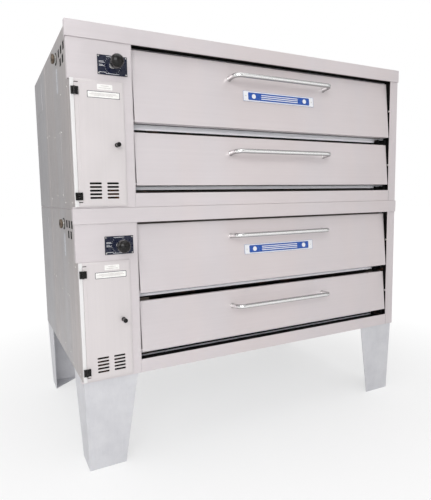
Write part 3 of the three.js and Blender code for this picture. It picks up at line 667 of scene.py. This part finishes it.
def door_badge(section):
    """White plate with a blue rim, a blue field with plain dots and bars, and two rivets."""
    place = section.door_place("deck_door_hinge")
    width, height = BADGE_SIZE
    skin = Vector((0, -0.12, 0)) * MM
    print_face = BADGE_MIDDLE + 2 * skin
    ink_face = print_face + Vector((0, -0.35, 0)) * MM
    layers = (
        ("rim", "badge_blue", BADGE_MIDDLE, (width, height), 2, 0.12, 0),
        ("ground", "badge_white", BADGE_MIDDLE + skin, (width - 2.4, height - 1.6), 1, 0.12, 0),
        ("field", "badge_blue", print_face, (width * 0.87, height * 0.76), 4, 0.35, 0.1),
    )
    for name, material, middle, size, corner, thickness, edge in layers:
        layer = bmesh.new()
        add_patch(layer, middle, size, corner, thickness, edge)
        section.make(f"badge_{name}", layer, material, "deck_door", place)
    marks = bmesh.new()
    for share in (-0.36, 0.36):
        spot = ink_face + Vector((width * share, 0, 0)) * MM
        add_patch(marks, spot, (20, 20), 9.9, 0.2, steps=8)
    for step in (-1, 0, 1):
        spot = ink_face + Vector((0, 0, step * 8)) * MM
        add_patch(marks, spot, (width * 0.52, 3.4), 1.6, 0.2)
    section.make("badge_marks", marks, "badge_white", "deck_door", place)
    rivets = bmesh.new()
    for share in (-0.468, 0.468):
        add_screw(rivets, print_face + Vector((width * share, 0, 0)) * MM, -Y_AXIS, 2.6 * MM)
    section.make("badge_rivets", rivets, "screw", "deck_door", place)


# ---------------------------------------------------------------- controls
def thermostat_knob(section):
    """Domed knob with a narrow base, a soft shoulder and a pale pointer line."""
    centre, length, radius = section.knob("thermostat_knob")
    bm = bmesh.new()
    profile = mm([(0, 3), (5.4, 3), (5.4, 0), (12, 0), (13, 1), (13.4, 9), (16, 12)])
    profile += [(radius - 1.5 * MM, 15 * MM), (radius, 18 * MM)]
    dome = 17 * MM
    for degrees in range(0, 90, 10):
        angle = math.radians(degrees)
        profile.append((radius * math.cos(angle), length - dome + dome * math.sin(angle)))
    add_turned(bm, profile + [(0, length)], centre, -Y_AXIS, steps=56)
    section.make("thermostat_knob_cap", bm, "black_plastic", "thermostat_knob", None, ["thermostat_knob"])
    pointer = bmesh.new()
    start = centre + Vector((0, -20 * MM, radius - 0.3 * MM))
    add_box(pointer, start + Vector((-0.9, -14, 0)) * MM, start + Vector((0.9, 0, 0.7)) * MM, 0.3 * MM)
    section.make("thermostat_pointer", pointer, "badge_white", "thermostat_knob")


def dial_plate_details(section):
    """Bezel ring round the stem, temperature ticks, plain rules and four corner screws."""
    low, high = section.box("dial_plate")
    face = low.y
    centre = section.knob("thermostat_knob")[0]
    centre.y = face
    ring = bmesh.new()
    profile = mm([(8.2, 0), (11.5, 0), (11.5, 1.2), (10.6, 2.2), (9, 2.2), (8.2, 1.4)])
    add_turned(ring, profile, centre, -Y_AXIS, steps=40)
    section.make("dial_bezel", ring, "chrome")
    marks = bmesh.new()
    for step in range(21):
        angle = math.radians(240 - 15 * step)
        along = Vector((math.cos(angle), 0, math.sin(angle)))
        across = Vector((-along.z, 0, along.x))
        length = (5 if step % 5 == 0 else 3) * MM
        spot = centre + along * (28 * MM + length / 2)
        tick = rounded_outline(spot, along, across, length, 0.8 * MM, 0.2 * MM, 1)
        add_plate(marks, tick, -Y_AXIS, 0.12 * MM)
    rules = [(6, 12, 18), (6, 8, 22), (6, 0, 14), (6, -4, 20), (6, -26, 26), (34, 30, 40), (30, -30, 50)]
    for start, z, width in rules:
        spot = Vector((low.x + (start + width / 2) * MM, face, centre.z + z * MM))
        add_patch(marks, spot, (width, 1.4), 0.3, 0.12, steps=1)
    section.make("dial_marks", marks, "badge_white")
    screws = bmesh.new()
    for x in (low.x + 5 * MM, high.x - 5 * MM):
        for z in (low.z + 5 * MM, high.z - 5 * MM):
            add_screw(screws, (x, face, z), -Y_AXIS, 2.6 * MM)
    section.make("dial_screws", screws, "screw")


def gas_valve_grip(section):
    """Ribbed valve knob with a finger wing."""
    centre = section.knob("gas_valve_knob")[0]
    bm = bmesh.new()
    profile = mm([(0, 0.2), (19, 0.2), (20, 1.2), (20, 9), (18.5, 12), (16, 13.6), (0, 13.6)])
    add_turned(bm, profile, centre, -Y_AXIS, steps=40)
    add_box(bm, centre + Vector((-3, -23.5, -16)) * MM, centre + Vector((3, -12, 16)) * MM, 1.4 * MM, 3)
    section.make("gas_valve_grip", bm, "black_plastic", "gas_valve_knob", None, ["gas_valve_knob"])


# ---------------------------------------------------------------- service door
def service_hinges(section):
    """Black ribbed hinges: one leaf with the outer knuckles on the stile, the other on the door."""
    pivot = Vector(section.joint("service_door_hinge")["pos_m"])
    door_face = section.box("service_door")[0].y
    gap = 0.25 * MM
    for end in ("top", "bottom"):
        node = f"service_hinge_{end}"
        low, high = section.box(node)
        third = (high.z - low.z) / 3
        fixed = bmesh.new()
        add_leaf(fixed, low.x, pivot.x - 3.2 * MM, low.x + 0.5 * MM, door_face, low.z, high.z)
        for base in (low.z, high.z - third + gap):
            add_knuckle(fixed, pivot, base, third - gap, -6 * MM)
        section.make(f"{node}_fixed", fixed, "black_plastic", "oven", None, [node])
        swing = bmesh.new()
        add_knuckle(swing, pivot, low.z + third + gap, third - 2 * gap, 6 * MM)
        right = pivot.x + 15 * MM
        add_leaf(swing, pivot.x + 5 * MM, right, right - 4.5 * MM, door_face, low.z, high.z)
        section.make(f"{node}_leaf", swing, "black_plastic", "service_door")


def add_leaf(bm, left, right, rib, face, bottom, top):
    """A hinge leaf on a sheet's face, with a 4 mm rib standing on it."""
    add_box(bm, (left, face - 3.6 * MM, bottom), (right, face - 0.2 * MM, top))
    low = (rib, face - 7 * MM, bottom + 0.6 * MM)
    add_box(bm, low, (rib + 4 * MM, face - 3 * MM, top - 0.6 * MM), 1.2 * MM)


def add_knuckle(bm, pivot, base, length, reach):
    """A hinge knuckle round the pin, and the web that joins it to a leaf on one side."""
    tall = length / MM
    profile = mm([(0, 0), (4, 0), (4.5, 0.5), (4.5, tall - 0.5), (4, tall), (0, tall)])
    add_turned(bm, profile, (pivot.x, pivot.y, base), Z_AXIS, steps=24)
    left, right = sorted((pivot.x, pivot.x + reach))
    add_box(bm, (left, pivot.y, base), (right, pivot.y + 4.4 * MM, base + length))


def service_latch(section):
    """Small black latch knob: collar, waist, rounded head and two raised lips beside its coin slot."""
    centre, length, radius = section.knob("service_latch")
    waist = radius - 1.6 * MM
    lip_radius = radius - 1.2 * MM
    face = length - 2.2 * MM
    bm = bmesh.new()
    profile = [(0, 0), (radius, 0), (radius, 2.4 * MM), (waist, 4.6 * MM), (waist, length - 12 * MM),
               (radius, length - 9 * MM), (radius, length - 3.4 * MM), (lip_radius, face), (0, face)]
    add_turned(bm, profile, centre, -Y_AXIS, steps=36)
    lip_base = centre + Vector((0, 2.6 * MM - length, 0))
    for side in (-1, 1):
        chord = arc(lip_base, -78, 78, lip_radius, X_AXIS * side, Z_AXIS, 12)
        add_plate(bm, chord, -Y_AXIS, 2.6 * MM, 0.5 * MM)
    section.make("service_latch_knob", bm, "black_plastic", "service_latch", None, ["service_latch"])


def service_door_lines(section):
    """Black sheet behind the slits and vents as painted shade, the fold that joins the slits, and a dark
    strip on the stile's edge as a painted shadow of the door's gap.
    """
    face = section.box("service_door")[0].y

    def strip(bm, across, up, depth, edge, segments=1):
        """A box given by its x, z and depth ranges in millimetres, the depth from the door's face."""
        low, high = section.at(across[0], 0, up[0]), section.at(across[1], 0, up[1])
        low.y, high.y = face + depth[0] * MM, face + depth[1] * MM
        add_box(bm, low, high, edge * MM, segments)

    # painted shade: black sheet just behind the slits and vents, where only shade would be
    vent_shade = bmesh.new()
    for x in (85, 149):
        strip(vent_shade, (x - 26, x + 26), (32, 97), (2.2, 2.8), 0.1)
    for z in (22, 447):
        strip(vent_shade, (22.6, 36.9), (z - 1.4, z + 1.4), (0.5, 1.6), 0.1)
    section.make("service_door_lines", vent_shade, "inner_black", "service_door")
    fold = bmesh.new()
    strip(fold, (36.2, 37.6), (24, 445), (-0.5, 0.3), 0.4, 2)
    section.make("service_door_fold", fold, "warm_steel", "service_door")
    # painted shadow: a dark strip on the stile's edge widens the thin gap beside the door
    seam = bmesh.new()
    strip(seam, (20.9, 22), (22, 447), (-0.1, 0.3), 0.05)
    section.make("service_stile_gap_shade", seam, "side_steel")


def service_labels(section):
    """Two blank labels on the service door; the wide one has a thin dark border."""
    face = section.box("service_door")[0].y

    def spot(x, z, lift):
        return Vector((section.origin.x + x * MM, face - lift * MM, section.origin.z + z * MM))

    labels = (
        ("label_small", "label", spot(132, 436.5, 0.05), (56, 19), 1.5, 0.15),
        ("label_border", "navy_plate", spot(127, 408.5, 0.05), (119, 24), 2, 0.12),
        ("label_wide", "label", spot(127, 408.5, 0.17), (115.5, 20.5), 1.4, 0.12),
    )
    for name, material, middle, size, corner, thickness in labels:
        label = bmesh.new()
        add_patch(label, middle, size, corner, thickness)
        section.make(f"service_{name}", label, material, "service_door")
    rules = bmesh.new()
    rows = [(132, 440, 30), (132, 433, 44)]
    rows += [(127, 412.5 - 3.6 * row, width) for row, width in enumerate((92, 104, 70))]
    for x, z, width in rows:
        add_patch(rules, spot(x, z, 0.3), (width, 1.1), 0.4, 0.06, steps=1)
    section.make("service_label_rules", rules, "side_steel", "service_door")


# ---------------------------------------------------------------- opening details
def hinge_brackets(section):
    """Black angle brackets at the right end of each door's lower edge."""
    bm = bmesh.new()
    for top in (311, 74.5):
        low, high = section.at(1541, 14, top - 20), section.at(1597, 40, top)
        add_box(bm, low, (high.x, high.y, low.z + 3 * MM))
        add_box(bm, low, (low.x + 3 * MM, high.y, high.z))
        add_box(bm, (high.x - 14 * MM, low.y, low.z), (high.x, high.y, high.z), 1 * MM)
        add_box(bm, (low.x, high.y - 2 * MM, low.z), high)
        add_screw(bm, Vector(((low.x + high.x) / 2, low.y + 12 * MM, low.z + 3 * MM)), Z_AXIS, 4 * MM)
    section.make("hinge_brackets", bm, "inner_black")


def opening_lines(section):
    """Black strips under both pale ledges as painted shade in the gap below them, and the seam between
    the right stile and bottom rail.
    """
    bm = bmesh.new()
    # painted shade: black strips along the lower edges of both ledges
    for front, bottom, top in ((45.2, 293, 299), (39.2, 60, 66.5)):
        add_box(bm, section.at(239.6, front, bottom), section.at(1603.8, front + 1.2, top), 0.3 * MM)
    add_box(bm, section.at(1605.4, -0.12, 1), section.at(1606.4, 0.3, 53), 0.05 * MM, 1)
    section.make("opening_lines", bm, "inner_black")


def jamb_screws(section):
    """Bright screws on the inner faces of both jambs, beside each door."""
    bm = bmesh.new()
    for z in (455, 184):
        add_screw(bm, section.at(1604, 7, z), -X_AXIS, 4.2 * MM)
        add_screw(bm, section.at(239.4, 7, z), X_AXIS, 4.2 * MM)
    section.make("jamb_screws", bm, "screw")


def chamber_seal(section):
    """Rope seal round the mouth of the baking chamber."""
    middle = section.at(921.5, 57.4, 456)
    outline = rounded_outline(middle, X_AXIS, Z_AXIS, 1296 * MM, 258 * MM, 22 * MM)
    bm = bmesh.new()
    add_tube(bm, outline, 4.2 * MM, sides=12, loop=True)
    section.make("chamber_seal", bm, "rope")


def sensing_bulb(section):
    """Thermostat bulb clipped under the chamber's roof."""
    bm = bmesh.new()
    add_tube(bm, [section.at(330, y, 566) for y in (420, 424, 640, 644)], 4.5 * MM, sides=16)
    capillary = [section.at(330, 420, 566), section.at(330, 400, 566), section.at(301, 392, 566)]
    add_tube(bm, capillary, 1.4 * MM, sides=10)
    for y in (450, 610):
        add_box(bm, section.at(326, y, 561), section.at(334, y + 8, 581.5), 0.6 * MM)
    section.make("sensing_bulb", bm, "chrome")


# ---------------------------------------------------------------- side, back and lid details
SIDE_SCREW = 2.9 * MM


def slot_shade_pads(section):
    """Black pads in the cooling slots of the left side, on a black sheet behind them: painted shade for
    the dark inside of the slots.
    """
    left = section.box("side_casing")[0].x + 6 * MM
    top, bottom = section.at(0, 0, 622).z, section.at(0, 0, 530).z
    front, back = section.at(0, 70, 0).y, section.at(0, 224, 0).y
    # painted shade: black pads and sheet fill the slots where only shade would be
    bm = bmesh.new()
    add_box(bm, (left, front, bottom), (left + 1 * MM, back, top), 0.3 * MM)
    add_box(bm, (left - 3.6 * MM, front, top - 1 * MM), (left + 1 * MM, back, top), 0.3 * MM)
    for y, z in ((88, 597), (142, 597), (196, 597), (110, 556), (164, 556)):
        low, high = section.at(0, y - 15.9, z - 14.9), section.at(0, y + 15.9, z + 14.9)
        add_box(bm, (left - 5.4 * MM, low.y, low.z), (left, high.y, high.z), 0.2 * MM)
    section.make("slot_shade_pads", bm, "inner_black")


def compartment_liner(section):
    """Thin sheet between the control compartment and the insulation beside it."""
    bm = bmesh.new()
    add_box(bm, section.at(241, 62, 30), section.at(242.2, 1008, 645), 0.3 * MM)
    section.make("compartment_liner", bm, "side_steel")


def side_label(section):
    """Narrow blank label below the gas union."""
    bm = bmesh.new()
    add_patch(bm, section.on_side("left", 262, 508, 0.05), (26, 96), 2, 0.12, normal=-X_AXIS)
    section.make("side_label", bm, "faded_film")


def gas_union(section):
    """Union that stands out of the left side: brass nut, plated ring, and a grommet round the hole."""
    hole = section.on_side("left", 265, 595)
    end = Vector((section.box("gas_inlet_pipe")[0].x, hole.y, hole.z))
    rings = (
        ("gas_union_nut", "brass", end,
         [(9.2, -8.6), (9.2, 0.4), (15, 0.5), (18.2, -0.8), (19.2, -2), (19.2, -7), (18.4, -8.6)]),
        ("gas_union_ring", "screw", end,
         [(14.2, -17), (14.2, -10.8), (17.6, -10.8), (18.6, -11.8), (18.6, -17)]),
        ("gas_hole_grommet", "inner_black", hole,
         [(18.9, -2.4), (18.9, 1.2), (20, 2), (23, 1.4), (24, 0.1), (19.8, 0.1), (19.8, -2.4)]),
    )
    for name, material, centre, profile in rings:
        ring = bmesh.new()
        add_turned(ring, mm(profile), centre, -X_AXIS, steps=40)
        section.make(name, ring, material)


SIDE_COVERS = (  # y range, z range, thickness in millimetres, and whether it has corner screws
    ((34, 200), (10, 452), 0.5, True),
    ((232, 392), (40, 313), 0.5, True),
    ((600, 1012), (3, 654), 0.4, False),
    ((740, 958), (477, 610), 1.4, False),
)


def side_details(section, side):
    """Access covers, lapped rear sheet, pressed panel and screws of one side."""
    outward = OUTWARD[side]
    plates, screws = bmesh.new(), bmesh.new()
    for (y0, y1), (z0, z1), thickness, screwed in SIDE_COVERS:
        centre = section.on_side(side, (y0 + y1) / 2, (z0 + z1) / 2, 0.05)
        add_patch(plates, centre, (y1 - y0, z1 - z0), 3, thickness, 0.15, 3, outward)
        if screwed:
            for y in (y0 + 12, y1 - 12):
                for z in (z0 + 12, z1 - 12):
                    add_screw(screws, section.on_side(side, y, z, thickness), outward, SIDE_SCREW)
    section.make(f"{side}_side_covers", plates, "side_steel")
    for y, z in ((26, 470), (215, 300), (560, 330), (560, 40)):
        add_screw(screws, section.on_side(side, y, z), outward, SIDE_SCREW)
    for y in (620, 985):
        add_screw(screws, section.on_side(side, y, 330, 0.45), outward, SIDE_SCREW)
    section.make(f"{side}_side_screws", screws, "screw")


def flue_louvre(section):
    """Louvred cover over the flue outlet at the back: a folded frame, and sooty slats."""
    low, high = section.at(716, 1016.2, 488), section.at(940, 1023.2, 572)
    band = 12 * MM
    inner_low, inner_high = low.z + band - 1 * MM, high.z - band + 1 * MM
    bm = bmesh.new()
    add_box(bm, low, (high.x, high.y, low.z + band))
    add_box(bm, (low.x, low.y, high.z - band), high)
    add_box(bm, (low.x, low.y, inner_low), (low.x + band, high.y, inner_high))
    add_box(bm, (high.x - band, low.y, inner_low), (high.x, high.y, inner_high))
    section.make("flue_louvre", bm, "side_steel")
    bm = bmesh.new()
    slats = 5
    slope = 4.5 * MM
    pitch = (high.z - low.z - 2 * band) / slats
    left, right = low.x + band - 1 * MM, high.x - band + 1 * MM
    front = low.y + 0.5 * MM
    for i in range(slats):
        z = low.z + band + pitch * (i + 0.5)
        slat = [(left, front, z + slope), (left, high.y, z - slope),
                (right, high.y, z - slope), (right, front, z + slope)]
        add_plate(bm, slat, (0, 0.6, 0.8), 1.2 * MM)
    section.make("flue_slats", bm, "black_pipe")


def back_details(section):
    """Two lapped back sheets, a blank rating plate and rows of screws."""
    sheets = bmesh.new()
    for x0, x1 in ((24, 700), (957, 1633)):
        centre = section.on_back((x0 + x1) / 2, 328, 0.05)
        add_patch(sheets, centre, (x1 - x0, 620), 3, 0.9, 0.3, 3, Y_AXIS)
    section.make("back_sheets", sheets, "side_steel")
    screws = bmesh.new()
    for x in (36, 250, 470, 688, 969, 1187, 1407, 1621):
        for z in (30, 328, 626):
            add_screw(screws, section.on_back(x, z, 0.95), Y_AXIS, 3.8 * MM)
    for x in (722, 934):
        for z in (494, 566):
            add_screw(screws, section.at(x, 1023.2, z), Y_AXIS, 3 * MM)
    section.make("back_screws", screws, "screw")
    plate = bmesh.new()
    add_patch(plate, section.on_back(828, 380, 0.05), (120, 70), 3, 0.6, 0.2, normal=Y_AXIS)
    section.make("rating_plate_blank", plate, "badge_white")
    rivets = bmesh.new()
    for x in (774, 882):
        for z in (351, 409):
            add_screw(rivets, section.on_back(x, z, 0.65), Y_AXIS, 2 * MM)
    section.make("rating_plate_rivets", rivets, "screw")


def lid_details(section):
    """Lap strips and screws on the lid."""
    low, high = section.box("top_cover")
    top = high.z + 0.02 * MM
    front, back = low.y + 30 * MM, high.y - 6 * MM
    strips, screws = bmesh.new(), bmesh.new()
    for x in (low.x + 553 * MM, low.x + 1104 * MM):
        add_box(strips, (x - 14 * MM, front, top), (x + 14 * MM, back, top + 1 * MM), 0.4 * MM)
        for y in (60, 360, 660, 960):
            add_screw(screws, (x, low.y + y * MM, top + 1 * MM), Z_AXIS, 3.8 * MM)
    section.make("lid_lap_strips", strips, "stainless")
    section.make("lid_screws", screws, "screw")


def leg_bolts():
    """Hexagon bolts that hold each leg's top plate to the floor pan above it."""
    for end, inward_y in (("front", 1), ("rear", -1)):
        for side, inward_x in (("left", 1), ("right", -1)):
            low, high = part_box(f"{end}_{side}_leg")
            corner_x = low.x if side == "left" else high.x
            corner_y = low.y if end == "front" else high.y
            corner = Vector((corner_x, corner_y, high.z))
            bm = bmesh.new()
            for dx, dy in ((36, 36), (120, 28), (28, 115)):
                add_bolt(bm, corner + Vector((inward_x * dx, inward_y * dy, -3.1)) * MM, -Z_AXIS, 6 * MM)
            make(f"{end}_{side}_leg_bolts", bm, "screw", "oven")


DETAILS = (
    door_badge, thermostat_knob, dial_plate_details, gas_valve_grip, service_hinges, service_latch,
    service_door_lines, service_labels, hinge_brackets, opening_lines, jamb_screws, chamber_seal,
    sensing_bulb, slot_shade_pads, compartment_liner, side_label, gas_union,
)
for section_name in SECTIONS:
    oven = Section(section_name)
    for door_name in HANDLE_HEIGHT:
        door_handle(oven, door_name)
    for add_detail in DETAILS:
        add_detail(oven)
    for side_name in OUTWARD:
        side_details(oven, side_name)
    flue_louvre(oven)
    back_details(oven)
lid_details(Section("upper"))
leg_bolts()


# ---------------------------------------------------------------- studio
OVEN_MIDDLE = Vector((0, 0, 0.9))
LIGHTS = (  # name, place, size, watts
    ("key", (-2.8, -4.4, 2.8), (3.2, 2.6), 120),
    ("side", (-4.6, 0.4, 2.6), (2.6, 2.6), 42),
    ("fill", (2.6, -4.4, 1.8), (2.6, 2.6), 14),
    ("low_strip", (-1.6, -4.2, 0.5), (2.8, 0.5), 7),
    ("overhead", (0, -0.6, 4.4), (3.4, 3.4), 45),
)
CAMERA_PLACE = (-1.1189, -2.1218, 1.0521)
CAMERA_TURN = (26.716, -5.887, -1.046)  # degrees to the right, up, and rolled
CAMERA_LENS = 32.02
CAMERA_SHIFT = (0.0176, -0.0122)


def studio_floor():
    bm = bmesh.new()
    bmesh.ops.create_grid(bm, x_segments=8, y_segments=8, size=30)
    mesh = bpy.data.meshes.new("studio_floor")
    bm.to_mesh(mesh)
    bm.free()
    mesh.materials.append(floor_paint())
    floor = bpy.data.objects.new("studio_floor", mesh)
    bpy.context.scene.collection.objects.link(floor)


def studio_world():
    """White to the camera, and a softer grey as light."""
    s = Shader("studio_world", bpy.data.worlds)
    rise = s.node("SeparateXYZ", Vector=s.coordinates["Generated"]).outputs["Z"]
    light = s.fit(rise, -0.05, 0.9, 0.34, 0.66)
    seen = s.node("LightPath").outputs["Is Camera Ray"]
    background = s.tree.nodes["Background"]
    s.put(background.inputs["Color"], (1, 1, 1))
    s.put(background.inputs["Strength"], s.fit(seen, 0, 1, light, 1))
    bpy.context.scene.world = s.owner


def area_light(name, place, size, power):
    """A rectangular lamp that looks at the oven's middle."""
    light = bpy.data.lights.new(name, "AREA")
    light.shape = "RECTANGLE"
    light.size, light.size_y = size
    light.energy = power
    lamp = bpy.data.objects.new(name, light)
    lamp.location = place
    lamp.rotation_euler = (OVEN_MIDDLE - Vector(place)).to_track_quat("-Z", "Y").to_euler()
    bpy.context.scene.collection.objects.link(lamp)


def camera():
    """Standing a little left of the oven, at the height of the upper section's floor."""
    yaw, pitch, roll = (math.radians(angle) for angle in CAMERA_TURN)
    forward = Vector((math.sin(yaw) * math.cos(pitch), math.cos(yaw) * math.cos(pitch), math.sin(pitch)))
    level = Vector((math.cos(yaw), -math.sin(yaw), 0))
    up = level.cross(forward)
    right = level * math.cos(roll) + up * math.sin(roll)
    up = up * math.cos(roll) - level * math.sin(roll)
    lens = bpy.data.cameras.new("camera")
    lens.lens = CAMERA_LENS
    lens.shift_x, lens.shift_y = CAMERA_SHIFT
    view = bpy.data.objects.new("camera", lens)
    turn = Matrix((right, up, -forward)).transposed().to_4x4()
    view.matrix_world = Matrix.Translation(CAMERA_PLACE) @ turn
    bpy.context.scene.collection.objects.link(view)
    bpy.context.scene.camera = view


studio_floor()
studio_world()
for lamp_row in LIGHTS:
    area_light(*lamp_row)
camera()
bpy.context.scene.view_settings.view_transform = "Standard"
